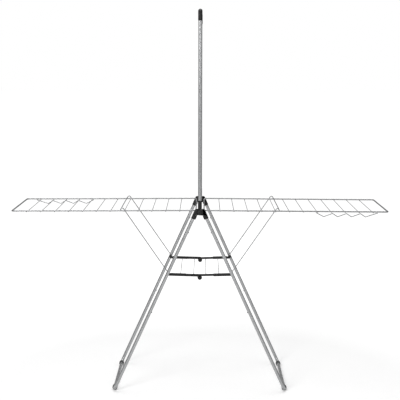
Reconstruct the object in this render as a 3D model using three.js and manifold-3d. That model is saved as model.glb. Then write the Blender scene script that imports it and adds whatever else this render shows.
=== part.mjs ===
// Free-standing clothes drying rack with two wings, a small centre shelf and a hanging-rod frame.
// Millimetres, +Z up. The origin lies on the ground, midway between the four feet.
// X runs along the wings, Y from the front (-Y) to the rear (+Y).
import * as THREE from 'three';
import { mergeVertices } from 'three/addons/utils/BufferGeometryUtils.js';
import Module from 'manifold-3d';

const wasm = await Module();
wasm.setup();

// ---------- driving dimensions ----------
const GAP = 0.3; // air between pieces that touch
const SINK = 1; // how far joined shapes run into each other, and cutting tools run past a face

// overall
const TOTAL_HEIGHT = 1840;
const WING_REACH = 902; // distance of the wings' outer bars from the middle
const LEG_PLANE = 277; // distance of each leg from the middle plane, along Y
const PIVOT_Z = 876; // height of the pins that the leg frames turn on

// leg frames
const LEG_R = 8; // leg tube radius
const LEG_WALL = 1;
const LEG_SLOPE = 0.4551; // sideways run per unit of height
const APEX_Z = PIVOT_Z + 43.2; // height where the leg axes would cross
const LEG_TOP_Z = PIVOT_Z - 8; // height of the leg tubes' upper ends
const LEG_BEND = 24; // bend radius where a leg turns into the floor bar
const FOOT_WALL = 4;
const FOOT_R = LEG_R + FOOT_WALL;
const FOOT_LENGTH = 26;
const FOOT_MARGIN = 4; // straight stretch between a foot and the bend
const FOOT_PLANE = LEG_PLANE - LEG_BEND - FOOT_LENGTH / 2 - FOOT_MARGIN;
const SOLE_CUT = 0.5; // depth of the flat on a foot's underside
const FLOOR_Z = FOOT_R - SOLE_CUT; // height of the floor bar's axis

// hubs
const LUG_R = 12.5;
const LUG_REACH = 0.96 * LUG_R; // where the flat sides of a lug meet its round end
const ARM_WALL = 1.6;
const ARM_FAIRING = 3; // how much thicker the arm is on its inner side
const ARM_R = LEG_R + GAP + ARM_WALL; // outer radius of the arm that holds a leg
const MOUTH_Z = PIVOT_Z - 29; // height of the arm's mouth, on its axis
const HEAD_Z = PIVOT_Z + 17.7; // flat top of the arm
const HEAD_LOW_Z = PIVOT_Z - 13; // below this the arm is a round sleeve
const HEAD_CHAMFER = 4;
const PIN_R = 3;
const CAP_R = 10;
const CAP_T = 2;
const LAYERS = 3; // two arm lugs and the post's tongue share one pin
const LAYER_GAP = 0.6;
const NECK_HALF = 8.4; // half width of the post's tongue

// rod frame
const ROD_R = 8.9;
const ROD_WALL = 1.1;
const POST_BASE_Z = HEAD_Z + LAYER_GAP;
const POST_TOP_Z = PIVOT_Z + 57.5; // shoulder that the upright stands on
const STEM_LIP = 0.6;
const STEM_R = ROD_R + STEM_LIP;
const POST_SPIGOT = 70;
const ELBOW_Z = TOTAL_HEIGHT - 55; // height where the corner fittings begin
const ELBOW_LIP = 1.4;
const ELBOW_R = ROD_R + ELBOW_LIP;
const ELBOW_REACH = 26; // length of a corner fitting along the top rod
const ELBOW_BEND = 14;
const SPIGOT_LENGTH = 22;

// struts, the shelf's studs and what lies beside them, from the legs inwards
const STRUT_R = 2.25;
const STRUT_CLEARANCE = 1.45; // between a strut and the legs
const STRUT_PLANE = LEG_PLANE - LEG_R - STRUT_CLEARANCE - STRUT_R;
const STUD_R = 3;
const STUD_GRIP = 5; // how far a stud reaches into a leg
const STUD_END = LEG_PLANE - LEG_R + STUD_GRIP;
const BAR_CLEARANCE = 0.65; // between a strut and the shelf
const BAR_THICKNESS = 12;
const BAR_OUTER = STRUT_PLANE - STRUT_R - BAR_CLEARANCE;
const BAR_INNER = BAR_OUTER - BAR_THICKNESS;
const LAP_PLANE = (BAR_OUTER + BAR_INNER) / 2;
const RAIL_R = 3.5;
const RAIL_CLEARANCE = 1.55; // between a strut and the rails
const RAIL_PLANE = STRUT_PLANE - STRUT_R - RAIL_CLEARANCE - RAIL_R;

// wings
const RAIL_Z = PIVOT_Z + 8.3;
const RAIL_DROP = 5; // how far the outer end hangs below the inner end
const RAIL_BEND = 14;
const RAIL_DOWN_BEND = 8;
const HINGE_X = 20;
const HINGE_Z = PIVOT_Z - 15;
const AXLE_R = 3;
const AXLE_GRIP = 1; // how far the axle reaches into each hub
const BOSS_WALL = 2.2;
const BOSS_R = AXLE_R + GAP + BOSS_WALL;
const BOSS_H = 3.75;
const WIRE_R = 1.5;
const WIRE_COUNT = 12;
const FIRST_WIRE_X = 97;
const LAST_WIRE_SPACE = 71.3; // from the last wire to the outer bar
const WIRE_PITCH = (WING_REACH - FIRST_WIRE_X - LAST_WIRE_SPACE) / (WIRE_COUNT - 1);

// zigzag hanger holder under one rail of each wing, from its inner end outwards
const HOOK_R = 2;
const HOOK_COUNT = 4;
const HOOK_END_X = WING_REACH - 50;
const LAST_TROUGH_X = HOOK_END_X - 59;
const HOOK_LEAD = 37; // from the inner end to the first trough
const HOOK_STEEP = 23.5; // run of the steep side of a tooth
const HOOK_TROUGH_DEPTH = 25;
const HOOK_PEAK_DEPTH = 9.2;
const HOOK_BEND = 4;

// struts
const STRUT_EYE_TURN = THREE.MathUtils.degToRad(262);
const EYE_CLEARANCE = 0.4; // between a strut's eye and its stud
const CROOK_X = 370.4; // where a strut turns over its rail
const CROOK_RISE = 17.4; // height of that corner above the rail's axis
const CROOK_BEND = 6;
const CROSSBAR_X = 380;
const CROSSBAR_BEND = 5;

// centre shelf
const SHELF_PIVOT_Z = 578;
const BAR_HALF = 6.4; // half height of a shelf bar
const TONGUE_HALF = 5.2; // half height where the inner bar ends in a tongue
const LAP_X = 66; // the two halves overlap inside this distance
const BAR_MID_Z = SHELF_PIVOT_Z - 8.5;
const BAR_RISE = 4; // the bars rise this much from the centre to the legs
const BRACKET_WALL = 4;
const BRACKET_R = STUD_R + BRACKET_WALL;
const KNUCKLE_R = 11;
const KNUCKLE_Z = BAR_MID_Z - 11;
const SHELF_WIRES_X = [29.5, 92.7];
const SHELF_WIRE_DROP = 3.5;
const SHELF_WIRE_GRIP = 3; // how far a shelf wire reaches into its bar

// resolution
const TUBE_SIDES = 12;
const RAIL_SIDES = 8;
const WIRE_SIDES = 6;
const DISC_SIDES = 20;
const SMALL_SIDES = 12;
const BEND_STEPS = 4;
const EYE_STEPS = 10;

// ---------- finishes ----------
const FINISHES = {
  tube: { color: 0xa9aaab, roughness: 0.38, metalness: 0.75 },
  wire: { color: 0xa2a3a4, roughness: 0.4, metalness: 0.7 },
  plastic: { color: 0x1b1b1c, roughness: 0.55, metalness: 0 },
  foot: { color: 0x3a3b3c, roughness: 0.65, metalness: 0 },
};

function piece(name, geometry, finish) {
  const mesh = new THREE.Mesh(geometry, new THREE.MeshStandardMaterial(FINISHES[finish]));
  mesh.name = name;
  return mesh;
}

// ---------- bent wires and tubes ----------
const vec = (x, y, z) => new THREE.Vector3(x, y, z);

// A path given by stations, each a point and its direction.
class StationCurve extends THREE.Curve {
  constructor(stations) {
    super();
    this.stations = stations;
  }

  at(t) {
    return this.stations[Math.round(t * (this.stations.length - 1))];
  }

  getPoint(t, target = new THREE.Vector3()) {
    return target.copy(this.at(t).point);
  }

  getPointAt(t, target) {
    return this.getPoint(t, target);
  }

  getTangentAt(t, target = new THREE.Vector3()) {
    return target.copy(this.at(t).direction);
  }
}

// Stations along a line through the given points, with each corner rounded to the given radius.
function roundedPath(points, radii) {
  const stations = [];
  const last = points.length - 1;
  stations.push({ point: points[0], direction: points[1].clone().sub(points[0]).normalize() });
  for (let i = 1; i < last; i += 1) {
    const incoming = points[i].clone().sub(points[i - 1]).normalize();
    const outgoing = points[i + 1].clone().sub(points[i]).normalize();
    const angle = incoming.angleTo(outgoing);
    const radius = Array.isArray(radii) ? radii[i - 1] : radii;
    const start = points[i].clone().addScaledVector(incoming, -radius * Math.tan(angle / 2));
    const axis = incoming.clone().cross(outgoing).normalize();
    const inward = axis.clone().cross(incoming);
    const centre = start.clone().addScaledVector(inward, radius);
    for (let step = 0; step <= BEND_STEPS; step += 1) {
      const turn = (angle * step) / BEND_STEPS;
      const spoke = inward.clone().multiplyScalar(-radius).applyAxisAngle(axis, turn);
      stations.push({
        point: centre.clone().add(spoke),
        direction: incoming.clone().applyAxisAngle(axis, turn),
      });
    }
  }
  stations.push({
    point: points[last],
    direction: points[last].clone().sub(points[last - 1]).normalize(),
  });
  return stations;
}

function roundSection(radius, boreRadius = 0) {
  const section = new THREE.Shape();
  section.absarc(0, 0, radius, 0, 2 * Math.PI);
  if (boreRadius > 0) {
    const bore = new THREE.Path();
    bore.absarc(0, 0, boreRadius, 0, 2 * Math.PI);
    section.holes.push(bore);
  }
  return section;
}

function sweep(stations, radius, sides, boreRadius = 0) {
  return new THREE.ExtrudeGeometry(roundSection(radius, boreRadius), {
    steps: stations.length - 1,
    curveSegments: sides / 2,
    extrudePath: new StationCurve(stations),
  });
}

// A straight round bar or tube between two points.
function bar(from, to, radius, sides, boreRadius = 0) {
  return sweep(roundedPath([from, to], 0), radius, sides, boreRadius);
}

// ---------- booleans ----------
function solid(geometry) {
  const bare = geometry.index ? geometry.toNonIndexed() : geometry.clone();
  bare.deleteAttribute('normal');
  bare.deleteAttribute('uv');
  const merged = mergeVertices(bare, 1e-4);
  return new wasm.Manifold(new wasm.Mesh({
    numProp: 3,
    vertProperties: new Float32Array(merged.attributes.position.array),
    triVerts: new Uint32Array(merged.index.array),
  }));
}

function fromSolid(manifold) {
  const mesh = manifold.getMesh();
  const geometry = new THREE.BufferGeometry();
  geometry.setAttribute('position', new THREE.BufferAttribute(new Float32Array(mesh.vertProperties), 3));
  geometry.setIndex(new THREE.BufferAttribute(new Uint32Array(mesh.triVerts), 1));
  return geometry;
}

function union(geometries) {
  return geometries.map(solid).reduce((whole, next) => whole.add(next));
}

function cut(whole, tools) {
  return tools.map(solid).reduce((left, tool) => left.subtract(tool), whole);
}

// A disc or pin along Y.
function discY(x, z, radius, y0, y1, sides = DISC_SIDES) {
  const disc = new THREE.CylinderGeometry(radius, radius, Math.abs(y1 - y0), sides);
  return disc.translate(x, (y0 + y1) / 2, z);
}

// A flat outline in the X-Z plane, thickened along Y.
function plateY(outline, y0, y1) {
  const shape = new THREE.Shape(outline.map(([x, z]) => new THREE.Vector2(x, z)));
  const depth = Math.abs(y1 - y0);
  const plate = new THREE.ExtrudeGeometry(shape, { depth, bevelEnabled: false });
  return plate.rotateX(Math.PI / 2).translate(0, Math.max(y0, y1), 0);
}

// ---------- shared places ----------
const legX = (z) => (APEX_Z - z) * LEG_SLOPE;
const legPoint = (z, y) => vec(legX(z), y, z);
const SHELF_PIVOT_X = legX(SHELF_PIVOT_Z);
const railZ = (x) => RAIL_Z - (RAIL_DROP * (x - HINGE_X)) / (WING_REACH - HINGE_X);
const layerT = (2 * ARM_R - (LAYERS - 1) * LAYER_GAP) / LAYERS;

// Y span of hub layer 0 (outer), 1 (middle) or 2 (inner) at the end with the given sign.
function layerSpan(layer, sign) {
  const outer = LEG_PLANE + ARM_R - layer * (layerT + LAYER_GAP);
  return [sign * outer, sign * (outer - layerT)];
}

// ---------- leg frames ----------
function legFrame() {
  const path = roundedPath([
    legPoint(LEG_TOP_Z, -LEG_PLANE),
    legPoint(FLOOR_Z, -LEG_PLANE),
    legPoint(FLOOR_Z, LEG_PLANE),
    legPoint(LEG_TOP_Z, LEG_PLANE),
  ], LEG_BEND);
  const tube = solid(sweep(path, LEG_R, TUBE_SIDES, LEG_R - LEG_WALL));
  const holes = [-1, 1].map((sign) => discY(
    SHELF_PIVOT_X,
    SHELF_PIVOT_Z,
    STUD_R + GAP,
    sign * (LEG_PLANE - LEG_R - SINK),
    sign * LEG_PLANE,
    SMALL_SIDES,
  ));
  return fromSolid(cut(tube, holes));
}

function foot(sign) {
  const x = legX(FLOOR_Z);
  const y0 = sign * (FOOT_PLANE - FOOT_LENGTH / 2);
  const y1 = sign * (FOOT_PLANE + FOOT_LENGTH / 2);
  const ring = solid(discY(x, FLOOR_Z, FOOT_R, y0, y1));
  const ground = new THREE.BoxGeometry(4 * FOOT_R, 4 * FOOT_LENGTH, FOOT_R);
  ground.translate(x, sign * FOOT_PLANE, -FOOT_R / 2);
  const bore = discY(x, FLOOR_Z, LEG_R + GAP, y0 - sign * SINK, y1 + sign * SINK);
  return fromSolid(cut(ring, [bore, ground]));
}

// ---------- hubs ----------
const legLean = Math.atan(LEG_SLOPE);
const armHalf = ARM_R / Math.cos(legLean); // half width of an arm along X
const fairing = vec(-Math.cos(legLean), 0, -Math.sin(legLean)).multiplyScalar(ARM_FAIRING);

// Outline of an arm's flat head, from the given distance to the arm's outer edge.
function headOutline(x0, low) {
  return [
    [x0, HEAD_Z],
    [legX(HEAD_Z) + armHalf - HEAD_CHAMFER, HEAD_Z],
    [legX(HEAD_Z - HEAD_CHAMFER) + armHalf, HEAD_Z - HEAD_CHAMFER],
    [legX(HEAD_LOW_Z) + armHalf, HEAD_LOW_Z],
    [legX(HEAD_LOW_Z) - armHalf - fairing.length() / Math.cos(legLean), HEAD_LOW_Z],
    [x0, low],
  ];
}

function hubArm(sign, layer) {
  const y = sign * LEG_PLANE;
  const inner = sign * (LEG_PLANE - ARM_R);
  const outer = sign * (LEG_PLANE + ARM_R);
  const [lug0, lug1] = layerSpan(layer, sign);
  const head = plateY(headOutline(NECK_HALF + SINK, PIVOT_Z), inner, outer);
  const ends = [legPoint(MOUTH_Z, y), legPoint(HEAD_LOW_Z + SINK, y)];
  const sleeve = bar(...ends, ARM_R, DISC_SIDES);
  const innerSleeve = bar(...ends.map((end) => end.clone().add(fairing)), ARM_R, DISC_SIDES);
  const whole = union([
    sleeve,
    innerSleeve,
    head,
    discY(HINGE_X, HINGE_Z, BOSS_R, inner + sign * BOSS_H, inner - sign * BOSS_H, SMALL_SIDES),
  ]);
  const sweptDisc = discY(0, PIVOT_Z, LUG_R + LAYER_GAP, outer + sign * SINK, inner - sign * SINK);
  const joined = cut(whole, [sweptDisc])
    .add(solid(plateY(headOutline(0, PIVOT_Z - LUG_REACH), lug0, lug1)))
    .add(solid(discY(0, PIVOT_Z, LUG_R, lug0, lug1)));
  const axleStop = inner + sign * (AXLE_GRIP + SINK);
  return fromSolid(cut(joined, [
    bar(legPoint(MOUTH_Z - SINK, y), legPoint(LEG_TOP_Z + GAP, y), LEG_R + GAP, DISC_SIDES),
    discY(HINGE_X, HINGE_Z, AXLE_R + GAP, axleStop, inner - sign * (BOSS_H + SINK), SMALL_SIDES),
    discY(0, PIVOT_Z, PIN_R + GAP, outer + sign * SINK, inner - sign * SINK, SMALL_SIDES),
  ]));
}

const spigotR = (ROD_R - ROD_WALL) * Math.cos(Math.PI / TUBE_SIDES) - GAP;

// The stem and its spigot stand on a tongue that hangs on the pivot pin.
function post(sign) {
  const y = sign * LEG_PLANE;
  const [tongue0, tongue1] = layerSpan(1, sign);
  const neckTop = POST_BASE_Z + SINK;
  const neck = new THREE.BoxGeometry(2 * NECK_HALF, layerT, neckTop - PIVOT_Z);
  neck.translate(0, y, (neckTop + PIVOT_Z) / 2);
  const whole = union([
    bar(vec(0, y, POST_BASE_Z), vec(0, y, POST_TOP_Z), STEM_R, DISC_SIDES),
    bar(vec(0, y, POST_TOP_Z - SINK), vec(0, y, POST_TOP_Z + POST_SPIGOT), spigotR, TUBE_SIDES),
    neck,
    discY(0, PIVOT_Z, LUG_R, tongue0, tongue1),
  ]);
  return fromSolid(cut(whole, [
    discY(0, PIVOT_Z, PIN_R + GAP, y - ARM_R, y + ARM_R, SMALL_SIDES),
  ]));
}

function pivotPin(sign) {
  const y = sign * LEG_PLANE;
  const face = ARM_R + GAP;
  return fromSolid(union([
    discY(0, PIVOT_Z, PIN_R, y - face - CAP_T / 2, y + face + CAP_T / 2, SMALL_SIDES),
    discY(0, PIVOT_Z, CAP_R, y - face - CAP_T, y - face),
    discY(0, PIVOT_Z, CAP_R, y + face, y + face + CAP_T),
  ]));
}

// ---------- rod frame ----------
const topRodZ = TOTAL_HEIGHT - ELBOW_R;

function upright(sign) {
  const y = sign * LEG_PLANE;
  return bar(
    vec(0, y, POST_TOP_Z + GAP),
    vec(0, y, ELBOW_Z - GAP),
    ROD_R,
    TUBE_SIDES,
    ROD_R - ROD_WALL,
  );
}

function elbow(sign) {
  const y = sign * LEG_PLANE;
  const end = sign * (LEG_PLANE - ELBOW_REACH);
  const corner = vec(0, y, topRodZ);
  const sleeve = roundedPath([vec(0, y, ELBOW_Z), corner, vec(0, end, topRodZ)], ELBOW_BEND);
  const spigot = roundedPath([
    vec(0, y, ELBOW_Z - SPIGOT_LENGTH),
    corner,
    vec(0, end - sign * SPIGOT_LENGTH, topRodZ),
  ], ELBOW_BEND);
  return fromSolid(union([
    sweep(sleeve, ELBOW_R, TUBE_SIDES),
    sweep(spigot, spigotR, TUBE_SIDES),
  ]));
}

function topRod() {
  const end = LEG_PLANE - ELBOW_REACH - GAP;
  return bar(vec(0, -end, topRodZ), vec(0, end, topRodZ), ROD_R, TUBE_SIDES, ROD_R - ROD_WALL);
}

// ---------- wings ----------
function wingFrame() {
  const end = HINGE_Z + AXLE_R + GAP;
  return sweep(roundedPath([
    vec(HINGE_X, -RAIL_PLANE, end),
    vec(HINGE_X, -RAIL_PLANE, RAIL_Z),
    vec(WING_REACH, -RAIL_PLANE, railZ(WING_REACH)),
    vec(WING_REACH, RAIL_PLANE, railZ(WING_REACH)),
    vec(HINGE_X, RAIL_PLANE, RAIL_Z),
    vec(HINGE_X, RAIL_PLANE, end),
  ], [RAIL_DOWN_BEND, RAIL_BEND, RAIL_BEND, RAIL_DOWN_BEND]), RAIL_R, RAIL_SIDES);
}

function wingAxle() {
  const end = LEG_PLANE - ARM_R + AXLE_GRIP;
  return bar(vec(HINGE_X, -end, HINGE_Z), vec(HINGE_X, end, HINGE_Z), AXLE_R, TUBE_SIDES);
}

function wingWire(index) {
  const x = FIRST_WIRE_X + index * WIRE_PITCH;
  const z = railZ(x) - RAIL_R - WIRE_R - GAP;
  const end = RAIL_PLANE + WIRE_R;
  return bar(vec(x, -end, z), vec(x, end, z), WIRE_R, WIRE_SIDES);
}

function hangerHolder() {
  const at = (x, depth) => vec(x, -RAIL_PLANE, railZ(x) - depth);
  const weld = RAIL_R + HOOK_R + GAP;
  const troughX = (i) => LAST_TROUGH_X - (HOOK_COUNT - 1 - i) * WIRE_PITCH;
  const points = [at(troughX(0) - HOOK_LEAD, weld)];
  for (let i = 0; i < HOOK_COUNT; i += 1) {
    if (i > 0) {
      points.push(at(troughX(i) - HOOK_STEEP, HOOK_PEAK_DEPTH));
    }
    points.push(at(troughX(i), HOOK_TROUGH_DEPTH));
  }
  points.push(at(HOOK_END_X, weld));
  return sweep(roundedPath(points, HOOK_BEND), HOOK_R, WIRE_SIDES);
}

// ---------- struts ----------
// One wire bent to a wide U: an eye on each shelf stud, two side wires and a bar over the rails.
function strut() {
  const eyeR = STUD_R + EYE_CLEARANCE + STRUT_R;
  const pivot = vec(SHELF_PIVOT_X, 0, SHELF_PIVOT_Z);
  const toCrook = vec(CROOK_X, 0, railZ(CROOK_X) + CROOK_RISE).sub(pivot);
  const angle = Math.atan2(toCrook.z, toCrook.x) - Math.asin(eyeR / toCrook.length());
  const along = vec(Math.cos(angle), 0, Math.sin(angle));
  const upward = vec(-along.z, 0, along.x);
  const side = (sign) => {
    const shift = vec(0, sign * STRUT_PLANE, 0);
    const centre = pivot.clone().add(shift);
    const tangent = centre.clone().addScaledVector(upward, eyeR);
    const crook = centre.clone().add(toCrook);
    const z = railZ(CROSSBAR_X) + RAIL_R + STRUT_R + GAP;
    return { centre, tangent, crook, corner: vec(CROSSBAR_X, shift.y, z) };
  };
  const front = side(-1);
  const rear = side(1);
  const eye = (end) => {
    const stations = [];
    for (let i = 0; i < EYE_STEPS; i += 1) {
      const turn = -STRUT_EYE_TURN * (1 - i / EYE_STEPS);
      const spoke = upward.clone().multiplyScalar(eyeR).applyAxisAngle(vec(0, 1, 0), turn);
      stations.push({
        point: end.centre.clone().add(spoke),
        direction: along.clone().applyAxisAngle(vec(0, 1, 0), turn),
      });
    }
    return stations;
  };
  const reversed = (stations) => stations.slice().reverse().map((s) => ({
    point: s.point,
    direction: s.direction.clone().negate(),
  }));
  const middle = roundedPath(
    [front.tangent, front.crook, front.corner, rear.corner, rear.crook, rear.tangent],
    [CROOK_BEND, CROSSBAR_BEND, CROSSBAR_BEND, CROOK_BEND],
  );
  return sweep([...eye(front), ...middle, ...reversed(eye(rear))], STRUT_R, WIRE_SIDES);
}

// ---------- centre shelf ----------
const barZ = (x) => BAR_MID_Z + (BAR_RISE * x) / SHELF_PIVOT_X;

function barOutline(x0, x1, half) {
  return [[x0, barZ(x0) - half], [x1, barZ(x1) - half], [x1, barZ(x1) + half], [x0, barZ(x0) + half]];
}

// The web that blends a bar into the round bracket above its end.
function bracketOutline() {
  return [
    [SHELF_PIVOT_X - 2 * BRACKET_R, barZ(SHELF_PIVOT_X) + BAR_HALF - SINK],
    [SHELF_PIVOT_X, barZ(SHELF_PIVOT_X) - BAR_HALF],
    [SHELF_PIVOT_X + 0.9 * BRACKET_R, SHELF_PIVOT_Z - 0.4 * BRACKET_R],
    [SHELF_PIVOT_X - 0.6 * BRACKET_R, SHELF_PIVOT_Z + 0.7 * BRACKET_R],
  ];
}

// The half with the knuckle keeps the outer half of the bar's thickness in the overlap.
function shelfBar(sign, hasKnuckle) {
  const full = [sign * BAR_OUTER, sign * BAR_INNER];
  const stud = [SHELF_PIVOT_X, SHELF_PIVOT_Z];
  const lap = hasKnuckle
    ? [sign * BAR_OUTER, sign * (LAP_PLANE + GAP)]
    : [sign * (LAP_PLANE - GAP), sign * BAR_INNER];
  const endHalf = hasKnuckle ? BAR_HALF : TONGUE_HALF;
  const pieces = [
    plateY(barOutline(LAP_X, SHELF_PIVOT_X, BAR_HALF), ...full),
    plateY(barOutline(0, LAP_X + SINK, endHalf), ...lap),
    discY(0, BAR_MID_Z, endHalf, ...lap),
    discY(...stud, BRACKET_R, ...full),
    plateY(bracketOutline(), ...full),
    discY(...stud, STUD_R, sign * (BAR_OUTER - SINK), sign * STUD_END, SMALL_SIDES),
  ];
  if (hasKnuckle) {
    pieces.push(discY(0, KNUCKLE_Z, KNUCKLE_R, ...lap));
  }
  const holes = SHELF_WIRES_X.map((x) => {
    const face = shelfWireFace(x, hasKnuckle);
    const z = barZ(x) - SHELF_WIRE_DROP;
    const depth = SHELF_WIRE_GRIP + GAP;
    return discY(x, z, WIRE_R + GAP, sign * (face - SINK), sign * (face + depth), WIRE_SIDES);
  });
  return fromSolid(cut(union(pieces), holes));
}

// Y distance of the bar face that a shelf wire enters.
function shelfWireFace(x, hasKnuckle) {
  return hasKnuckle && x < LAP_X ? LAP_PLANE + GAP : BAR_INNER;
}

function shelfWire(x, hasKnuckle) {
  const end = shelfWireFace(x, hasKnuckle) + SHELF_WIRE_GRIP;
  const z = barZ(x) - SHELF_WIRE_DROP;
  return bar(vec(x, -end, z), vec(x, end, z), WIRE_R, WIRE_SIDES);
}

// ---------- one side of the rack: leg frame, wing, strut and half the shelf ----------
// The side is drawn towards +X; the left side is the same one turned half way round.
function side(name, hasKnuckle) {
  const group = new THREE.Group();
  const ends = name === 'right' ? { '-1': 'front', 1: 'rear' } : { '-1': 'rear', 1: 'front' };
  group.add(piece(`${name}_leg_frame`, legFrame(), 'tube'));
  for (const sign of [-1, 1]) {
    const end = ends[sign];
    group.add(piece(`${name}_foot_${end}`, foot(sign), 'foot'));
    group.add(piece(`${name}_hub_arm_${end}`, hubArm(sign, sign < 0 ? 0 : 2), 'plastic'));
    group.add(piece(`${name}_shelf_bar_${end}`, shelfBar(sign, hasKnuckle), 'plastic'));
  }
  group.add(piece(`${name}_wing_frame`, wingFrame(), 'wire'));
  group.add(piece(`${name}_wing_axle`, wingAxle(), 'wire'));
  for (let i = 0; i < WIRE_COUNT; i += 1) {
    group.add(piece(`${name}_wing_wire_${String(i + 1).padStart(2, '0')}`, wingWire(i), 'wire'));
  }
  group.add(piece(`${name}_hanger_holder`, hangerHolder(), 'wire'));
  group.add(piece(`${name}_strut`, strut(), 'wire'));
  SHELF_WIRES_X.forEach((x, i) => {
    const place = i === 0 ? 'inner' : 'outer';
    group.add(piece(`${name}_shelf_wire_${place}`, shelfWire(x, hasKnuckle), 'wire'));
  });
  group.rotation.z = name === 'right' ? 0 : Math.PI;
  return group;
}

// ---------- the rack ----------
const rack = new THREE.Group();
rack.add(side('left', true));
rack.add(side('right', false));
for (const [end, sign] of [['front', -1], ['rear', 1]]) {
  rack.add(piece(`${end}_post`, post(sign), 'plastic'));
  rack.add(piece(`${end}_pivot_pin`, pivotPin(sign), 'plastic'));
  rack.add(piece(`${end}_upright`, upright(sign), 'tube'));
  rack.add(piece(`${end}_corner_fitting`, elbow(sign), 'plastic'));
}
rack.add(piece('top_rod', topRod(), 'tube'));

export default rack;
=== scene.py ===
"""Looks of a free-standing clothes drying rack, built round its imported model.

Everything is in metres in the rack's own frame: +Z up, X along the wings, -Y towards the
front, the origin on the ground midway between the feet.
"""

import logging
import math
from dataclasses import dataclass
from enum import Enum

import bmesh
import bpy
from mathutils import Matrix, Vector


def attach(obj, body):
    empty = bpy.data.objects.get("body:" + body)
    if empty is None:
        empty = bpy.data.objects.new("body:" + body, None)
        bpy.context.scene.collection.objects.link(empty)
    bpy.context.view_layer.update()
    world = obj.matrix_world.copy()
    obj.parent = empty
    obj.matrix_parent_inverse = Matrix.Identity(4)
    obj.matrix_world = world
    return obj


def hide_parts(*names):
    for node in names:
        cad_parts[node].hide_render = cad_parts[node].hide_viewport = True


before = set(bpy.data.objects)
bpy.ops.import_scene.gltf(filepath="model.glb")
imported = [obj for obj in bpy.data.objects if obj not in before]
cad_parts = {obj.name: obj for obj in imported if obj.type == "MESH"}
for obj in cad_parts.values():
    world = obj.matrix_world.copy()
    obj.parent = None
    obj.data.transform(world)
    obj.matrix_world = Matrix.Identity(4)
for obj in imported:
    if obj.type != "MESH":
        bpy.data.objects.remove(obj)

LOG = logging.getLogger("rack")
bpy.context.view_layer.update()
MM = 0.001
MERGE_M = 1e-6  # vertices closer than this are one
SMOOTH_DEG = 35.0  # faces that meet at less than this are shaded smooth
SHARP_DEG = 25.0  # a plate's edges over this are rounded
BEND_STEP_DEG = 9.0  # a bend's turn for each step
FRONT, REAR = -1, 1
WIRE_COUNT = 12


# ---------------------------------------------------------------- shader maths
class Sock:
    """A shader socket that adds Math nodes when it is used in an expression."""

    def __init__(self, graph: "Graph", socket: bpy.types.NodeSocket) -> None:
        """Wraps one output socket of a graph."""
        self.graph = graph
        self.socket = socket

    def _math(self, operation: str, first: object, second: object) -> "Sock":
        """Adds one Math node and wraps its result."""
        return self.graph.node("ShaderNodeMath", {"operation": operation}, {0: first, 1: second})

    def __add__(self, other: object) -> "Sock":
        """Sum."""
        return self._math("ADD", self, other)

    __radd__ = __add__

    def __sub__(self, other: object) -> "Sock":
        """Difference."""
        return self._math("SUBTRACT", self, other)

    def __rsub__(self, other: object) -> "Sock":
        """Difference, reflected."""
        return self._math("SUBTRACT", other, self)

    def __mul__(self, other: object) -> "Sock":
        """Product."""
        return self._math("MULTIPLY", self, other)

    __rmul__ = __mul__


class Graph:
    """The node tree of one material."""

    def __init__(self, material: bpy.types.Material) -> None:
        """Clears the material's tree and adds its shader and output."""
        material.use_nodes = True
        self.tree = material.node_tree
        self.tree.nodes.clear()
        self.shader = self.tree.nodes.new("ShaderNodeBsdfPrincipled")
        output = self.tree.nodes.new("ShaderNodeOutputMaterial")
        self.tree.links.new(self.shader.outputs["BSDF"], output.inputs["Surface"])

    def node(self, kind: str, settings: dict, inputs: dict, out: object = 0) -> Sock:
        """Adds a node.

        Args:
            kind: The node's type name.
            settings: Attributes set first; "stops" holds a colour ramp's positions and colours.
            inputs: Values or links by socket name or index.
            out: The output socket's name or index.

        Returns:
            The wrapped output socket.
        """
        node = self.tree.nodes.new(kind)
        for name, value in settings.items():
            if name == "stops":
                self._stops(node.color_ramp, value)
            else:
                setattr(node, name, value)
        for name, value in inputs.items():
            self.feed(node.inputs[name], value)
        return Sock(self, node.outputs[out])

    def feed(self, socket: bpy.types.NodeSocket, value: object) -> None:
        """Links a wrapped socket to an input, or sets the input's constant."""
        if isinstance(value, Sock):
            self.tree.links.new(value.socket, socket)
        else:
            socket.default_value = value

    def set(self, **inputs: object) -> None:
        """Feeds the shader's sockets, whose names are given with underscores for spaces."""
        for name, value in inputs.items():
            self.feed(self.shader.inputs[name.replace("_", " ")], value)

    @staticmethod
    def _stops(ramp: bpy.types.ColorRamp, stops: list) -> None:
        """Sets a colour ramp's stops."""
        while len(ramp.elements) < len(stops):
            ramp.elements.new(1.0)
        for element, (position, colour) in zip(ramp.elements, stops):
            element.position = position
            element.color = colour

    def coords(self) -> Sock:
        """Object coordinates in metres."""
        return self.node("ShaderNodeTexCoord", {}, {}, "Object")

    def noise(self, vector: Sock, scale: float, detail: float = 2.0, rough: float = 0.5) -> Sock:
        """Noise from 0 to 1."""
        return self.node("ShaderNodeTexNoise", {}, {
            "Vector": vector, "Scale": scale, "Detail": detail, "Roughness": rough,
        }, "Fac")

    def ramp(self, fac: Sock, stops: list) -> Sock:
        """A colour ramp."""
        return self.node("ShaderNodeValToRGB", {"stops": stops}, {"Fac": fac}, "Color")

    def bump(self, height: Sock, strength: float, distance: float) -> Sock:
        """A bump normal from a height."""
        return self.node("ShaderNodeBump", {}, {
            "Height": height, "Strength": strength, "Distance": distance,
        }, "Normal")


def grey(value: float, tint: float = 0.0) -> tuple[float, float, float, float]:
    """A grey of the given linear value, slightly cooler for a positive tint."""
    return (value * (1 - tint), value, value * (1 + tint), 1.0)


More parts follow.
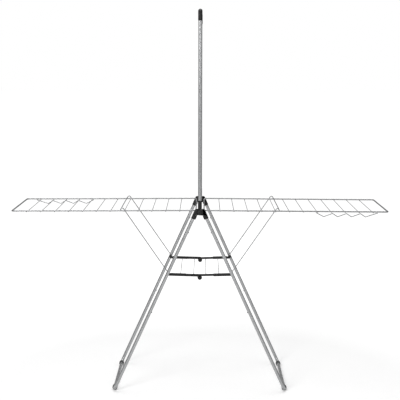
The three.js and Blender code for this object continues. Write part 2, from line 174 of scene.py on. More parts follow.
# ---------------------------------------------------------------- finishes
@dataclass(frozen=True)
class PaintedSteel:
    """Silver-grey powder paint over drawn steel."""

    name: str
    base: float
    spread: float
    roughness: float
    grain: float

    def make(self) -> bpy.types.Material:
        """Builds the material."""
        material = bpy.data.materials.new(self.name)
        g = Graph(material)
        place = g.coords()
        cloud = g.noise(place, 14.0, 3.0)
        fleck = g.noise(place, self.grain, 2.0, 0.6)
        low, high = self.base - self.spread, self.base + self.spread
        tone = cloud * 0.35 + fleck * 0.65
        colour = g.ramp(tone, [(0.3, grey(low, 0.01)), (0.7, grey(high, 0.015))])
        g.set(
            Base_Color=colour,
            Roughness=self.roughness + (cloud - 0.5) * 0.12 + (fleck - 0.5) * 0.08,
            Metallic=0.72,
            Normal=g.bump(fleck, 0.25, 0.00012),
        )
        return material


@dataclass(frozen=True)
class MouldedPlastic:
    """Matt moulded plastic with a fine spark-eroded texture."""

    name: str
    base: float
    roughness: float

    def make(self) -> bpy.types.Material:
        """Builds the material."""
        material = bpy.data.materials.new(self.name)
        g = Graph(material)
        place = g.coords()
        texture = g.noise(place, 2600.0, 2.0, 0.6)
        handled = g.noise(place, 40.0, 3.0)
        colour = g.ramp(handled * 0.7 + texture * 0.3, [
            (0.3, grey(self.base * 0.75, 0.02)), (0.75, grey(self.base * 1.35, 0.02)),
        ])
        g.set(
            Base_Color=colour,
            Roughness=self.roughness + (handled - 0.5) * 0.16,
            Specular_IOR_Level=0.3,
            Normal=g.bump(texture, 0.35, 0.00008),
        )
        return material


class Finish(Enum):
    """The finishes of the rack, each with the record's material slot."""

    TUBE = ("steel_tube", PaintedSteel("tube_paint", 0.46, 0.04, 0.27, 1500.0))
    WIRE = ("steel_wire", PaintedSteel("wire_paint", 0.34, 0.04, 0.38, 2200.0))
    WELD = ("steel_wire", PaintedSteel("weld_paint", 0.26, 0.05, 0.45, 1200.0))
    BLACK = ("black_plastic", MouldedPlastic("black_moulding", 0.010, 0.48))
    FOOT = ("foot_plastic", MouldedPlastic("foot_moulding", 0.07, 0.6))

    @property
    def slot(self) -> str:
        """The record's material slot."""
        return self.value[0]

    def material(self) -> bpy.types.Material:
        """The finish's material, made once."""
        recipe = self.value[1]
        return bpy.data.materials.get(recipe.name) or recipe.make()


# ---------------------------------------------------------------- mesh tools
def vec(x: float, y: float, z: float) -> Vector:
    """A point given in millimetres, in metres."""
    return Vector((x, y, z)) * MM


def finish_mesh(bm: bmesh.types.BMesh, name: str) -> bpy.types.Object:
    """Turns a bmesh into an object at the origin.

    Args:
        bm: The shape; it is freed.
        name: The object's name.

    Returns:
        The linked object.
    """
    bmesh.ops.remove_doubles(bm, verts=bm.verts, dist=MERGE_M)
    bmesh.ops.recalc_face_normals(bm, faces=bm.faces)
    limit = math.radians(SMOOTH_DEG)
    for face in bm.faces:
        face.smooth = True
    for edge in bm.edges:
        edge.smooth = len(edge.link_faces) == 2 and edge.calc_face_angle(0.0) < limit
    mesh = bpy.data.meshes.new(name)
    bm.to_mesh(mesh)
    bm.free()
    piece = bpy.data.objects.new(name, mesh)
    bpy.context.scene.collection.objects.link(piece)
    return piece


def frame_along(direction: Vector) -> Matrix:
    """A rotation that turns +Z to the given direction."""
    return direction.to_track_quat("Z", "Y").to_matrix().to_4x4()


def end_faces(geometry: list) -> list:
    """The faces in an operator's result."""
    return [item for item in geometry if isinstance(item, bmesh.types.BMFace)]


def with_edges(faces: list) -> list:
    """Faces with their edges and vertices, as spin needs them."""
    edges = {edge for face in faces for edge in face.edges}
    verts = {vert for face in faces for vert in face.verts}
    return list(faces) + list(edges) + list(verts)


def add_bent_bar(
    bm: bmesh.types.BMesh, points: list[Vector], radii: list[float], radius: float, sides: int
) -> None:
    """Adds a round bar along straight runs joined by bends.

    Args:
        bm: The mesh to add to.
        points: The start, the corners and the end.
        radii: The bend radius at each corner.
        radius: The bar's radius.
        sides: The number of sides of its section.
    """
    direction = (points[1] - points[0]).normalized()
    place = Matrix.Translation(points[0]) @ frame_along(direction)
    ring = bmesh.ops.create_circle(bm, cap_ends=True, segments=sides, radius=radius, matrix=place)
    faces = list({face for vert in ring["verts"] for face in vert.link_faces})
    here = points[0]
    for corner, following, bend in zip(points[1:-1], points[2:], radii):
        heading = (following - corner).normalized()
        angle = direction.angle(heading)
        start = corner - direction * bend * math.tan(angle / 2)
        faces = push(bm, faces, start - here)
        axis = direction.cross(heading).normalized()
        centre = start + axis.cross(direction) * bend
        steps = max(4, round(math.degrees(angle) / BEND_STEP_DEG))
        spun = bmesh.ops.spin(
            bm, geom=with_edges(faces), cent=centre, axis=axis, angle=angle, steps=steps
        )
        faces = end_faces(spun["geom_last"])
        here = centre + Matrix.Rotation(angle, 3, axis) @ (start - centre)
        direction = heading
    push(bm, faces, points[-1] - here)


def push(bm: bmesh.types.BMesh, faces: list, offset: Vector) -> list:
    """Extrudes end faces by an offset and returns the new end faces."""
    if offset.length < 1e-7:
        return faces
    made = bmesh.ops.extrude_face_region(bm, geom=faces)["geom"]
    verts = [item for item in made if isinstance(item, bmesh.types.BMVert)]
    bmesh.ops.translate(bm, verts=verts, vec=offset)
    return end_faces(made)


def add_turned(
    bm: bmesh.types.BMesh, profile: list[tuple[float, float]], base: Vector, axis: Vector,
    sides: int = 40, closed: bool = False,
) -> None:
    """Adds a turned shape.

    Args:
        bm: The mesh to add to.
        profile: Radius and height pairs in millimetres.
        base: Where height 0 lies.
        axis: The direction of height.
        sides: The number of steps of the turn.
        closed: Whether the profile's last point joins its first.
    """
    place = Matrix.Translation(base) @ frame_along(axis)
    verts = [bm.verts.new(place @ vec(radius, 0, height)) for radius, height in profile]
    pairs = list(zip(verts, verts[1:])) + ([(verts[-1], verts[0])] if closed else [])
    edges = [bm.edges.new(pair) for pair in pairs]
    bmesh.ops.spin(
        bm, geom=verts + edges, cent=base, axis=axis, angle=math.tau, steps=sides, use_merge=True
    )


def arc(radius: float, centre: tuple[float, float], start: float, end: float, steps: int = 8) -> list:
    """Points of an arc in a profile, angles in degrees from the radius direction."""
    turns = [math.radians(start + (end - start) * i / steps) for i in range(steps + 1)]
    return [(centre[0] + radius * math.cos(t), centre[1] + radius * math.sin(t)) for t in turns]


def add_plate(
    bm: bmesh.types.BMesh, outline: list[tuple[float, float]], y0: float, y1: float, edge: float
) -> None:
    """Adds an X-Z outline thickened along Y with rounded edges, in millimetres."""
    part = bmesh.new()
    face = part.faces.new([part.verts.new(vec(x, y0, z)) for x, z in outline])
    push(part, [face], vec(0, y1 - y0, 0))
    bmesh.ops.recalc_face_normals(part, faces=part.faces)
    sharp = [e for e in part.edges if e.calc_face_angle(0.0) > math.radians(SHARP_DEG)]
    bmesh.ops.bevel(
        part, geom=sharp, offset=edge * MM, offset_type="OFFSET", segments=3, profile=0.5,
        affect="EDGES", material=-1,
    )
    merge_into(bm, part)


def merge_into(bm: bmesh.types.BMesh, part: bmesh.types.BMesh) -> None:
    """Copies one bmesh into another and frees it."""
    mesh = bpy.data.meshes.new("part")
    part.to_mesh(mesh)
    part.free()
    bm.from_mesh(mesh)
    bpy.data.meshes.remove(mesh)


def disc_outline(x: float, z: float, radius: float, steps: int = 36) -> list[tuple[float, float]]:
    """A round outline."""
    return arc(radius, (x, z), 0, 360 * (steps - 1) / steps, steps - 1)


# ---------------------------------------------------------------- shared sizes
@dataclass(frozen=True)
class Plan:
    """The rack's main lines, in millimetres."""

    apex_z: float = 919.2
    leg_slope: float = 0.4551
    leg_plane: float = 277.0
    floor_z: float = 11.5
    pivot_z: float = 876.0
    rail_plane: float = 258.0
    rail_z: float = 884.3
    rail_drop: float = 5.0
    reach: float = 902.0
    hinge_x: float = 20.0
    hinge_z: float = 861.0
    rail_r: float = 3.5
    shelf_z: float = 578.0
    arm_r: float = 9.9
    lug_r: float = 12.5
    layer_gap: float = 0.6
    layers: int = 3

    def leg_x(self, z: float) -> float:
        """Distance of the leg axis from the middle at a height."""
        return (self.apex_z - z) * self.leg_slope

    def leg(self, z: float, y: float) -> Vector:
        """A point on a leg's axis."""
        return vec(self.leg_x(z), y, z)

    def rail(self, x: float) -> float:
        """Height of the rails' axis at a distance from the middle."""
        return self.rail_z - self.rail_drop * (x - self.hinge_x) / (self.reach - self.hinge_x)


    @property
    def layer(self) -> float:
        """Thickness of one of the lugs that share the pivot pin."""
        return (2 * self.arm_r - 2 * self.layer_gap) / self.layers


PLAN = Plan()


def end_name(sign: int) -> str:
    """The name of the end at a Y sign of the whole rack."""
    return "front" if sign == FRONT else "rear"


@dataclass
class Side:
    """One side of the rack. Shapes are drawn towards +X and turned half round for the left."""

    name: str

    @property
    def turn(self) -> Matrix:
        """The rotation that brings a shape to this side."""
        return Matrix.Rotation(0.0 if self.name == "right" else math.pi, 4, "Z")

    def end(self, sign: int) -> str:
        """The name of the end at a Y sign of the shape before its turn."""
        return end_name(sign if self.name == "right" else -sign)

    def place(
        self, bm: bmesh.types.BMesh, part: str, body: str, finish: Finish, nodes: list[str]
    ) -> None:
        """Makes a piece of this side.

        Args:
            bm: The shape, drawn towards +X.
            part: The piece's name without the side.
            body: The body's name without the side.
            finish: Its finish.
            nodes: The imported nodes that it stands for.
        """
        bm.transform(self.turn)
        dress(bm, f"{self.name}_{part}", f"{self.name}_{body}", finish, nodes)


def dress(
    bm: bmesh.types.BMesh, name: str, body: str, finish: Finish, nodes: list[str]
) -> None:
    """Turns a shape into a finished piece on its body and reports it.

    Args:
        bm: The shape; it is freed.
        name: The piece's name.
        body: The body that it rides on.
        finish: Its finish.
        nodes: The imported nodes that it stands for.
    """
    piece = finish_mesh(bm, name)
    piece.data.materials.append(finish.material())
    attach(piece, body)
    if nodes:
        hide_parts(*nodes)
    LOG.info("%s on %s: %d faces", name, body, len(piece.data.polygons))


# ---------------------------------------------------------------- leg frames
@dataclass
class LegFrame:
    """A bent tube with two foot rings, two hub arms and its stop bumpers."""

    side: Side
    tube_r: float = 8.0
    bend: float = 24.0
    top_z: float = 868.0
    foot_r: float = 12.0
    foot_half: float = 13.0
    foot_plane: float = 236.0
    foot_fit: float = 0.15
    mouth_z: float = 847.0
    fairing: float = 3.0
    head_z: float = 893.7
    head_low_z: float = 863.0
    head_chamfer: float = 4.0
    neck_clear: float = 9.4
    boss_r: float = 5.5
    boss_bore: float = 3.2
    boss_length: float = 6.5
    boss_reach: float = 3.75
    bumper_r: float = 3.4
    bumper_round: float = 1.2
    bumper_flank: float = 1.4
    bumper_sink: float = 0.6
    bumper_heights: tuple[float, ...] = (783.0, 395.0)

    def build(self) -> None:
        """Makes every piece of the frame."""
        self.tube()
        for sign in (FRONT, REAR):
            self.foot(sign)
            self.hub_arm(sign)
            self.bumpers(sign)

    def tube(self) -> None:
        """The tube: front leg, floor bar and rear leg."""
        bm = bmesh.new()
        y = PLAN.leg_plane
        points = [
            PLAN.leg(self.top_z, -y), PLAN.leg(PLAN.floor_z, -y),
            PLAN.leg(PLAN.floor_z, y), PLAN.leg(self.top_z, y),
        ]
        add_bent_bar(bm, points, [self.bend * MM] * 2, self.tube_r * MM, 32)
        self.side.place(bm, "leg_tube", "leg", Finish.TUBE, [f"{self.side.name}_leg_frame"])

    def foot(self, sign: int) -> None:
        """A split foot ring with a flat sole."""
        bm = bmesh.new()
        r, half = self.foot_r, self.foot_half
        bore = self.tube_r + self.foot_fit
        profile = [
            (bore, -half), (r - 1.6, -half), (r - 0.5, -half + 0.5), (r, -half + 1.6),
            (r, -3.6), (r - 0.8, -3.0), (r - 0.8, 3.0), (r, 3.6),
            (r, half - 1.6), (r - 0.5, half - 0.5), (r - 1.6, half), (bore, half),
        ]
        x = PLAN.leg_x(PLAN.floor_z)
        add_turned(bm, profile, vec(x, sign * self.foot_plane, PLAN.floor_z), Vector((0, 1, 0)),
                   sides=48, closed=True)
        bmesh.ops.remove_doubles(bm, verts=bm.verts, dist=MERGE_M)
        cut = bmesh.ops.bisect_plane(
            bm, geom=bm.verts[:] + bm.edges[:] + bm.faces[:], plane_co=(0, 0, 0),
            plane_no=(0, 0, -1), clear_outer=True,
        )
        rim = [item for item in cut["geom_cut"] if isinstance(item, bmesh.types.BMEdge)]
        bmesh.ops.holes_fill(bm, edges=rim)
        end = self.side.end(sign)
        self.side.place(bm, f"foot_ring_{end}", "leg", Finish.FOOT, [f"{self.side.name}_foot_{end}"])

    def head_outline(self, start: list[tuple[float, float]], end: list) -> list:
        """Outline of an arm's flat head between given first and last points."""
        half = PLAN.arm_r * math.hypot(1, PLAN.leg_slope)
        top, low, cut = self.head_z, self.head_low_z, self.head_chamfer
        corner = PLAN.leg_x(top) + half
        return [
            *start, (corner - cut * 1.2, top), (corner - cut * 0.25, top - cut * 0.35),
            (PLAN.leg_x(top - cut * 1.2) + half, top - cut * 1.2),
            (PLAN.leg_x(low) + half, low), (PLAN.leg_x(low) - half - self.fairing * 1.1, low), *end,
        ]

    def hub_arm(self, sign: int) -> None:
        """An arm that holds the leg, with a lug on the pivot pin and a boss for the hinge rod."""
        bm = bmesh.new()
        y = sign * PLAN.leg_plane
        mouth, root = PLAN.leg(self.mouth_z, y), PLAN.leg(self.head_low_z + 1, y)
        along = (root - mouth).normalized()
        length = (root - mouth).length / MM
        bore, r = self.tube_r + 0.1, PLAN.arm_r
        inward = Vector((-along.z, 0, along.x)) * self.fairing * MM
        sheath = [(0, 1.2), (r - 0.6, 1.2), (r, 1.8), (r, length), (0, length)]
        profile = [
            (0, length), (0, length - 3), (bore, length - 3), (bore, 0.7), (bore + 0.4, 0),
            (r - 0.4, 0), (r + 0.1, 0.5), (r + 0.1, 3.8), (r, 4.6), (r, length),
        ]
        add_turned(bm, profile, mouth, along, closed=True)
        add_turned(bm, sheath, mouth + inward, along)
        inner, outer = sign * (PLAN.leg_plane - r), sign * (PLAN.leg_plane + r)
        swept = arc(PLAN.lug_r + PLAN.layer_gap + 0.2, (0, PLAN.pivot_z), -30, 30, 6)
        block = self.head_outline([(self.neck_clear, self.head_z)], swept)
        add_plate(bm, block, inner, outer, 1.5)
        layer = 0 if sign == FRONT else PLAN.layers - 1
        face = PLAN.leg_plane + r - layer * (PLAN.layer + PLAN.layer_gap)
        span = (sign * face, sign * (face - PLAN.layer))
        web = self.head_outline([(0, self.head_z)], [(0, PLAN.pivot_z - PLAN.lug_r * 0.96)])
        add_plate(bm, web, *span, 0.9)
        add_plate(bm, disc_outline(0, PLAN.pivot_z, PLAN.lug_r), *span, 0.9)
        boss = [
            (self.boss_bore, 0), (self.boss_r - 0.9, 0), (self.boss_r, 0.9),
            (self.boss_r, self.boss_length), (self.boss_bore, self.boss_length),
        ]
        add_turned(bm, boss, vec(PLAN.hinge_x, inner - sign * self.boss_reach, PLAN.hinge_z),
                   Vector((0, sign, 0)), sides=28, closed=True)
        end = self.side.end(sign)
        self.side.place(bm, f"hub_{end}", "leg", Finish.BLACK, [f"{self.side.name}_hub_arm_{end}"])

    def bumpers(self, sign: int) -> None:
        """Small stop bumpers on the leg's inner flank."""
        bm = bmesh.new()
        inward = Vector((-1, 0, -PLAN.leg_slope)).normalized()
        r, turn, flank = self.bumper_r, self.bumper_round, self.bumper_flank
        dome = arc(turn, (r - turn, flank), 0, 90, 4)
        profile = [(0, 0), (r, 0), (r, flank), *dome, (0, flank + turn)]
        for height in self.bumper_heights:
            depth = (self.tube_r - self.bumper_sink) * MM
            base = PLAN.leg(height, sign * PLAN.leg_plane) + inward * depth
            add_turned(bm, profile, base, inward, sides=24)
        self.side.place(bm, f"bumpers_{self.side.end(sign)}", "leg", Finish.FOOT, [])


# ---------------------------------------------------------------- wings
@dataclass
class Wing:
    """A wire wing with its hinge rod, cross wires, weld beads and hanger holder."""

    side: Side
    rail_bend: float = 14.0
    down_bend: float = 8.0
    axle_r: float = 3.0
    axle_end: float = 268.1
    wire_r: float = 1.5
    wire_gap: float = 0.1
    bead_lean: float = 1.1
    bead_shape: tuple[float, float, float] = (1.1, 2.2, 1.0)
    first_x: float = 97.0
    pitch: float = 66.7
    hook_r: float = 2.0
    hook_bend: float = 4.0
    teeth: int = 4
    last_trough: float = 793.0
    steep: float = 23.5
    hook_ends: tuple[float, float] = (555.9, 852.0)
    trough_depth: float = 25.0
    peak_depth: float = 9.2

    def build(self) -> None:
        """Makes every piece of the wing."""
        self.frame()
        self.axle()
        for index in range(WIRE_COUNT):
            self.wire(index)
        self.hanger_holder()
        self.welds()

    def frame(self) -> None:
        """The bent frame: two rails, the outer bar and the turned-down inner ends."""
        bm = bmesh.new()
        y, low = PLAN.rail_plane, PLAN.hinge_z + self.axle_r
        corners = [
            (PLAN.hinge_x, low), (PLAN.hinge_x, PLAN.rail_z), (PLAN.reach, PLAN.rail(PLAN.reach)),
        ]
        points = [vec(x, -y, z) for x, z in corners] + [vec(x, y, z) for x, z in reversed(corners)]
        down, turn = self.down_bend * MM, self.rail_bend * MM
        bends = [down, turn, turn, down]
        add_bent_bar(bm, points, bends, PLAN.rail_r * MM, 20)
        self.side.place(bm, "wing_rail", "wing", Finish.WIRE, [f"{self.side.name}_wing_frame"])

    def axle(self) -> None:
        """The hinge rod between the hubs."""
        bm = bmesh.new()
        rod = [vec(PLAN.hinge_x, sign * self.axle_end, PLAN.hinge_z) for sign in (FRONT, REAR)]
        add_bent_bar(bm, rod, [], self.axle_r * MM, 20)
        self.side.place(bm, "wing_hinge_rod", "wing", Finish.WIRE, [f"{self.side.name}_wing_axle"])

    def wire_place(self, index: int) -> tuple[float, float]:
        """Distance out and height of a cross wire."""
        x = self.first_x + index * self.pitch
        return x, PLAN.rail(x) - PLAN.rail_r - self.wire_r - self.wire_gap

    def wire(self, index: int) -> None:
        """A cross wire with rounded ends."""
        bm = bmesh.new()
        x, z = self.wire_place(index)
        half, r = PLAN.rail_plane + self.wire_r, self.wire_r
        profile = [(0, 0), *arc(0.5, (r - 0.5, 0.5), -90, 0, 3),
                   *arc(0.5, (r - 0.5, 2 * half - 0.5), 0, 90, 3), (0, 2 * half)]
        add_turned(bm, profile, vec(x, -half, z), Vector((0, 1, 0)), sides=12)
        number = f"{index + 1:02d}"
        self.side.place(bm, f"cross_wire_{number}", "wing", Finish.WIRE,
                        [f"{self.side.name}_wing_wire_{number}"])

    def hanger_holder(self) -> None:
        """The zigzag wire under one rail."""
        bm = bmesh.new()
        weld = PLAN.rail_r + self.hook_r
        stops = [(self.hook_ends[0], weld)]
        for index in range(self.teeth):
            x = self.last_trough - (self.teeth - 1 - index) * self.pitch
            if index:
                stops.append((x - self.steep, self.peak_depth))
            stops.append((x, self.trough_depth))
        stops.append((self.hook_ends[1], weld))
        points = [vec(x, -PLAN.rail_plane, PLAN.rail(x) - depth) for x, depth in stops]
        bends = [self.hook_bend * MM] * (len(points) - 2)
        add_bent_bar(bm, points, bends, self.hook_r * MM, 14)
        self.side.place(bm, "hanger_zigzag", "wing", Finish.WIRE, [f"{self.side.name}_hanger_holder"])

    def welds(self) -> None:
        """Small weld beads where the cross wires meet the rails."""
        bm = bmesh.new()
        for index in range(WIRE_COUNT):
            x, z = self.wire_place(index)
            for sign in (FRONT, REAR):
                for lean in (-self.bead_lean, self.bead_lean):
                    bead = bmesh.ops.create_uvsphere(bm, u_segments=8, v_segments=6, radius=MM)
                    bmesh.ops.scale(bm, verts=bead["verts"], vec=self.bead_shape)
                    spot = vec(x + lean, sign * PLAN.rail_plane, z + self.wire_r - self.wire_gap)
                    bmesh.ops.translate(bm, verts=bead["verts"], vec=spot)
        self.side.place(bm, "wing_welds", "wing", Finish.WELD, [])


# ---------------------------------------------------------------- braces
@dataclass
class Brace:
    """A wire bent to a wide U that stands on the shelf studs and hooks over the rails."""

    side: Side
    wire_r: float = 2.25
    plane: float = 265.3
    slope_deg: float = 55.4
    eye_r: float = 5.65
    eye_turn_deg: float = 262.0
    length: float = 387.0
    crook_bend: float = 6.0
    corner_bend: float = 5.0
    bar_x: float = 380.0
    bar_gap: float = 0.2

    def build(self) -> None:
        """Makes the brace."""
        bm = bmesh.new()
        slope = math.radians(self.slope_deg)
        along = Vector((math.cos(slope), 0, math.sin(slope)))
        upward = Vector((-along.z, 0, along.x))
        bar_z = PLAN.rail(self.bar_x) + PLAN.rail_r + self.wire_r + self.bar_gap
        runs = []
        for sign in (FRONT, REAR):
            pivot = vec(PLAN.leg_x(PLAN.shelf_z), sign * self.plane, PLAN.shelf_z)
            tangent = pivot + upward * self.eye_r * MM
            crook = tangent + along * self.length * MM
            runs.append([tangent, crook, vec(self.bar_x, sign * self.plane, bar_z)])
            self.add_eye(bm, pivot, tangent, along)
        points = runs[0] + runs[1][::-1]
        turn, corner = self.crook_bend * MM, self.corner_bend * MM
        bends = [turn, corner, corner, turn]
        add_bent_bar(bm, points, bends, self.wire_r * MM, 16)
        self.side.place(bm, "brace_wire", "brace", Finish.WIRE, [f"{self.side.name}_strut"])

    def add_eye(self, bm: bmesh.types.BMesh, pivot: Vector, tangent: Vector, along: Vector) -> None:
        """Adds the eye round the stud: the wire's section spun about the pivot."""
        place = Matrix.Translation(tangent) @ frame_along(along)
        ring = bmesh.ops.create_circle(
            bm, cap_ends=True, segments=16, radius=self.wire_r * MM, matrix=place
        )
        faces = list({face for vert in ring["verts"] for face in vert.link_faces})
        bmesh.ops.spin(
            bm, geom=with_edges(faces), cent=pivot, axis=Vector((0, -1, 0)),
            angle=math.radians(self.eye_turn_deg), steps=26,
        )


# ---------------------------------------------------------------- centre shelf
@dataclass
class ShelfHalf:
    """Half of the centre shelf: two moulded bars and two wires."""

    side: Side
    knuckle: bool
    bar_half: float = 6.4
    tongue_half: float = 5.2
    outer: float = 262.4
    inner: float = 250.4
    lap_plane: float = 256.4
    lap_x: float = 66.0
    lap_gap: float = 0.3
    mid_z: float = 569.5
    rise: float = 4.0
    bracket_r: float = 7.0
    knuckle_r: float = 11.0
    knuckle_z: float = 558.5
    button_r: float = 5.2
    stud_r: float = 2.9
    stud_end: float = 273.8
    stud_length: float = 13.4
    wire_r: float = 1.5
    wires_x: tuple[float, float] = (29.5, 92.7)
    wire_drop: float = 3.5
    wire_grip: float = 3.0

    def build(self) -> None:
        """Makes every piece of this half."""
        for sign in (FRONT, REAR):
            self.bar(sign)
        for name, x in zip(("inner", "outer"), self.wires_x):
            self.wire(name, x)

    def bar_z(self, x: float) -> float:
        """Height of the bar's middle line."""
        return self.mid_z + self.rise * x / PLAN.leg_x(PLAN.shelf_z)

    def lap(self, sign: int) -> tuple[float, float]:
        """Y span of the half-thick end."""
        if self.knuckle:
            return sign * self.outer, sign * (self.lap_plane + self.lap_gap)
        return sign * (self.lap_plane - self.lap_gap), sign * self.inner

    def bar(self, sign: int) -> None:
        """A moulded bar with its bracket, stud and lapped end."""
        bm = bmesh.new()
        stud_x = PLAN.leg_x(PLAN.shelf_z)
        full = (sign * self.outer, sign * self.inner)
        h, t = self.bar_half, self.bar_half if self.knuckle else self.tongue_half
        r = self.bracket_r
        body = [
            (self.lap_x, self.bar_z(self.lap_x) - h), (stud_x - 6, self.bar_z(stud_x) - h),
            (stud_x + r * 0.55, self.bar_z(stud_x) - h * 0.35),
            (stud_x + r * 0.97, PLAN.shelf_z - 1.5),
            (stud_x + r * 0.72, PLAN.shelf_z + r * 0.7), (stud_x, PLAN.shelf_z + r),
            (stud_x - r * 0.7, PLAN.shelf_z + r * 0.72), (stud_x - r * 1.35, PLAN.shelf_z - 0.5),
            (stud_x - r * 2.1, self.bar_z(stud_x) + h), (self.lap_x, self.bar_z(self.lap_x) + h),
        ]
        add_plate(bm, body, *full, 1.3)
        tip = [(self.lap_x + 2, self.bar_z(self.lap_x) + t), *[
            (x, z) for x, z in arc(t, (0, self.mid_z), 90, 270, 10)
        ], (self.lap_x + 2, self.bar_z(self.lap_x) - t)]
        add_plate(bm, tip, *self.lap(sign), 1.1)
        long = self.stud_length
        thick = self.stud_r
        stud = [(0, 0), (thick, 0), (thick, long - 0.8), (thick - 0.5, long), (0, long)]
        add_turned(bm, stud, vec(stud_x, sign * (self.stud_end - long), PLAN.shelf_z),
                   Vector((0, sign, 0)), sides=24)
        if self.knuckle:
            add_plate(bm, disc_outline(0, self.knuckle_z, self.knuckle_r), *self.lap(sign), 1.4)
            button = disc_outline(0, self.knuckle_z, self.button_r, 28)
            add_plate(bm, button, sign * (self.outer - 1), sign * (self.outer + 0.9), 0.7)
        end = self.side.end(sign)
        self.side.place(bm, f"shelf_moulding_{end}", "shelf", Finish.BLACK,
                        [f"{self.side.name}_shelf_bar_{end}"])

    def wire(self, name: str, x: float) -> None:
        """A shelf wire between the two bars."""
        bm = bmesh.new()
        face = self.lap_plane + self.lap_gap if self.knuckle and x < self.lap_x else self.inner
        z, end = self.bar_z(x) - self.wire_drop, face + self.wire_grip
        add_bent_bar(bm, [vec(x, -end, z), vec(x, end, z)], [], self.wire_r * MM, 14)
        self.side.place(bm, f"shelf_rod_{name}", "shelf", Finish.WIRE,
                        [f"{self.side.name}_shelf_wire_{name}"])


# ---------------------------------------------------------------- posts and rod frame
@dataclass
class Post:
    """A post with a spigot for the rod frame, and the pivot pin under it."""

    sign: int
    stem_r: float = 9.5
    spigot_r: float = 7.2
    spigot: float = 70.0
    base_z: float = 894.3
    top_z: float = 933.5
    neck_half: float = 8.4
    pin_r: float = 3.0
    cap_r: float = 10.0
    cap_gap: float = 0.2

    @property
    def end(self) -> str:
        """The post's end of the rack."""
        return end_name(self.sign)

    def build(self) -> None:
        """Makes the post and its pin."""
        self.post()
        self.pin()

    def post(self) -> None:
        """The stem, the spigot inside the upright, the neck and the tongue on the pin."""
        bm = bmesh.new()
        y = self.sign * PLAN.leg_plane
        r, slim, top = self.stem_r, self.spigot_r, self.top_z - self.base_z
        peak = top + self.spigot
        profile = [
            (0, 0), (r - 1.0, 0), (r, 1.0), (r, top - 3.0), (r - 0.5, top - 2.5), (r - 0.5, top - 1.9),
            (r, top - 1.4), (r, top - 0.5), (r - 0.5, top), (slim, top), (slim, peak - 3),
            (slim - 1.5, peak), (0, peak),
        ]
        add_turned(bm, profile, vec(0, y, self.base_z), Vector((0, 0, 1)))
        half = PLAN.layer / 2
        low, high, wide = PLAN.pivot_z, self.base_z + 2, self.neck_half
        neck = [(-wide, low), (wide, low), (wide, high), (-wide, high)]
        add_plate(bm, neck, y - half, y + half, 0.6)
        add_plate(bm, disc_outline(0, PLAN.pivot_z, PLAN.lug_r), y - half, y + half, 0.7)
        dress(bm, f"{self.end}_post_stem", "posts", Finish.BLACK, [f"{self.end}_post"])

    def pin(self) -> None:
        """The pivot pin with a domed, dished cap at each end."""
        bm = bmesh.new()
        y, r = self.sign * PLAN.leg_plane, self.cap_r
        face = PLAN.arm_r + self.cap_gap
        hollow = r * 0.42
        cap = [(0, 0), (r, 0), (r, 0.8), *arc(1.2, (r - 1.2, 0.9), 0, 90, 4), (hollow + 0.6, 2.1),
               (hollow, 1.5), (0, 1.5)]
        for way in (FRONT, REAR):
            add_turned(bm, cap, vec(0, y + way * face, PLAN.pivot_z), Vector((0, way, 0)))
        shank = [(0, 0), (self.pin_r, 0), (self.pin_r, 2 * face + 1), (0, 2 * face + 1)]
        add_turned(bm, shank, vec(0, y - face - 0.5, PLAN.pivot_z), Vector((0, 1, 0)), sides=20)
        dress(bm, f"{self.end}_hub_pin", "posts", Finish.BLACK, [f"{self.end}_pivot_pin"])


@dataclass
class RodFrame:
    """Two uprights, two corner fittings and the top rod."""

    rod_r: float = 8.9
    seat_z: float = 933.8
    elbow_z: float = 1785.0
    top_z: float = 1840.0
    elbow_r: float = 10.3
    reach: float = 26.0
    bend: float = 14.0
    lip_rise: float = 0.4
    overlap: float = 4.0

    @property
    def axis_z(self) -> float:
        """Height of the top rod's axis."""
        return self.top_z - self.elbow_r

    def build(self) -> None:
        """Makes every piece of the rod frame."""
        for sign in (FRONT, REAR):
            self.upright(sign)
            self.corner(sign)
        bm = bmesh.new()
        end = PLAN.leg_plane - self.reach
        rod = [vec(0, -end, self.axis_z), vec(0, end, self.axis_z)]
        add_bent_bar(bm, rod, [], self.rod_r * MM, 36)
        dress(bm, "top_rail", "rod_frame", Finish.TUBE, ["top_rod"])

    def upright(self, sign: int) -> None:
        """An upright tube."""
        bm = bmesh.new()
        y = sign * PLAN.leg_plane
        add_bent_bar(bm, [vec(0, y, self.seat_z), vec(0, y, self.elbow_z)], [], self.rod_r * MM, 36)
        end = end_name(sign)
        dress(bm, f"{end}_upright_tube", "rod_frame", Finish.TUBE, [f"{end}_upright"])

    def corner(self, sign: int) -> None:
        """A moulded corner with a lip at each mouth."""
        bm = bmesh.new()
        y = sign * PLAN.leg_plane
        inner = sign * (PLAN.leg_plane - self.reach)
        lip = self.rod_r + self.lip_rise
        points = [
            vec(0, y, self.elbow_z + self.overlap), vec(0, y, self.axis_z),
            vec(0, inner + sign * self.overlap, self.axis_z),
        ]
        add_bent_bar(bm, points, [self.bend * MM], self.elbow_r * MM, 36)
        r = self.elbow_r
        collar = [(0, -0.4), (lip, -0.4), (r - 0.2, 0), (r, 0.5), (r, 4.2), (r - 0.35, 4.8), (0, 4.8)]
        add_turned(bm, collar, vec(0, y, self.elbow_z), Vector((0, 0, 1)), sides=36)
        add_turned(bm, collar, vec(0, inner, self.axis_z), Vector((0, sign, 0)), sides=36)
        end = end_name(sign)
        dress(bm, f"{end}_corner_moulding", "rod_frame", Finish.BLACK, [f"{end}_corner_fitting"])


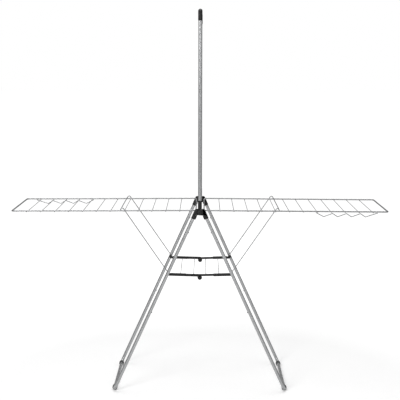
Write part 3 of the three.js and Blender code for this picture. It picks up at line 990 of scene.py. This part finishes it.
# ---------------------------------------------------------------- studio
@dataclass
class Studio:
    """Floor, lights, world and camera."""

    camera_place: tuple[float, float, float] = (0.0182, -5.9965, 1.5924)
    yaw: float = -0.0031
    pitch: float = 0.1141
    roll: float = 0.0024
    lens: float = 108.61
    floor_half: float = 60.0
    floor_drop: float = 0.0005
    floor_tone: float = 0.9
    floor_spread: float = 0.01
    glow: float = 0.78
    near_glow: float = 0.29
    near_reach: float = 1.0
    far_reach: float = 3.0
    reach_span: float = 5.0
    lamp_aim: tuple[float, float, float] = (0, 0, 0.9)
    sky: float = 1.0
    surround: float = 0.25

    def build(self) -> None:
        """Makes the studio."""
        bpy.context.scene.view_settings.view_transform = "Standard"
        self.camera()
        self.floor()
        self.world()
        self.light("key", (-2.2, -5.4, 3.0), 1.9, 190.0)
        self.light("fill", (3.6, -3.6, 2.0), 2.4, 25.0)
        self.light("top", (0.0, 0.4, 4.6), 3.0, 105.0)

    def camera(self) -> None:
        """The camera."""
        data = bpy.data.cameras.new("camera")
        data.lens = self.lens
        data.sensor_width = 36.0
        camera = bpy.data.objects.new("camera", data)
        bpy.context.scene.collection.objects.link(camera)
        camera.location = self.camera_place
        aim = Matrix.Rotation(-self.yaw, 4, "Z") @ Matrix.Rotation(math.pi / 2 - self.pitch, 4, "X")
        camera.rotation_euler = (aim @ Matrix.Rotation(self.roll, 4, "Z")).to_euler()
        bpy.context.scene.camera = camera

    def floor(self) -> None:
        """A wide pale floor that reaches past the horizon on every side."""
        bm = bmesh.new()
        bmesh.ops.create_grid(bm, x_segments=1, y_segments=1, size=self.floor_half)
        bmesh.ops.translate(bm, verts=bm.verts[:], vec=(0, 0, -self.floor_drop))
        floor = finish_mesh(bm, "studio_floor")
        floor.data.materials.append(self.paper())

    def paper(self) -> bpy.types.Material:
        """White paper that glows a little, and more further out, so that it reads as white."""
        material = bpy.data.materials.new("floor_paper")
        g = Graph(material)
        place = g.coords()
        cloud = g.noise(place, 0.8, 2.0)
        seen = g.node("ShaderNodeLightPath", {}, {}, "Is Camera Ray")
        reach = g.node("ShaderNodeVectorMath", {"operation": "LENGTH"}, {"Vector": place}, "Value")
        low, high = self.floor_tone - self.floor_spread, self.floor_tone + self.floor_spread
        g.set(
            Base_Color=g.ramp(cloud, [(0.2, grey(low)), (0.8, grey(high))]),
            Roughness=0.95,
            Emission_Color=g.ramp(reach * (1 / self.reach_span), [
                (self.near_reach / self.reach_span, grey(self.near_glow)),
                (self.far_reach / self.reach_span, grey(1.0)),
            ]),
            Emission_Strength=seen * self.glow,
        )
        return material

    def world(self) -> None:
        """An even surround, bright where it is seen and soft where it lights the rack."""
        world = bpy.data.worlds.new("studio")
        world.use_nodes = True
        tree = world.node_tree
        background = tree.nodes["Background"]
        background.inputs["Color"].default_value = (1, 1, 1, 1)
        seen = tree.nodes.new("ShaderNodeLightPath")
        power = tree.nodes.new("ShaderNodeMapRange")
        power.inputs["To Min"].default_value = self.surround
        power.inputs["To Max"].default_value = self.sky
        tree.links.new(seen.outputs["Is Camera Ray"], power.inputs["Value"])
        tree.links.new(power.outputs["Result"], background.inputs["Strength"])
        bpy.context.scene.world = world

    def light(self, name: str, place: tuple[float, float, float], size: float, power: float) -> None:
        """A soft square light aimed at the middle of the rack.

        Args:
            name: The light's name.
            place: Where it stands, in metres.
            size: The length of its edge in metres.
            power: Its power in watts.
        """
        data = bpy.data.lights.new(name, "AREA")
        data.size = size
        data.energy = power
        lamp = bpy.data.objects.new(name, data)
        bpy.context.scene.collection.objects.link(lamp)
        lamp.location = place
        aim = Vector(self.lamp_aim) - Vector(place)
        lamp.rotation_euler = aim.to_track_quat("-Z", "Y").to_euler()


def main() -> None:
    """Builds the studio and every sub-assembly."""
    logging.basicConfig(level=logging.INFO, format="%(name)s: %(message)s")
    Studio().build()
    for name in ("left", "right"):
        side = Side(name)
        LegFrame(side).build()
        Wing(side).build()
        Brace(side).build()
        ShelfHalf(side, knuckle=name == "left").build()
    for sign in (FRONT, REAR):
        Post(sign).build()
    RodFrame().build()


if __name__ == "__main__":
    main()
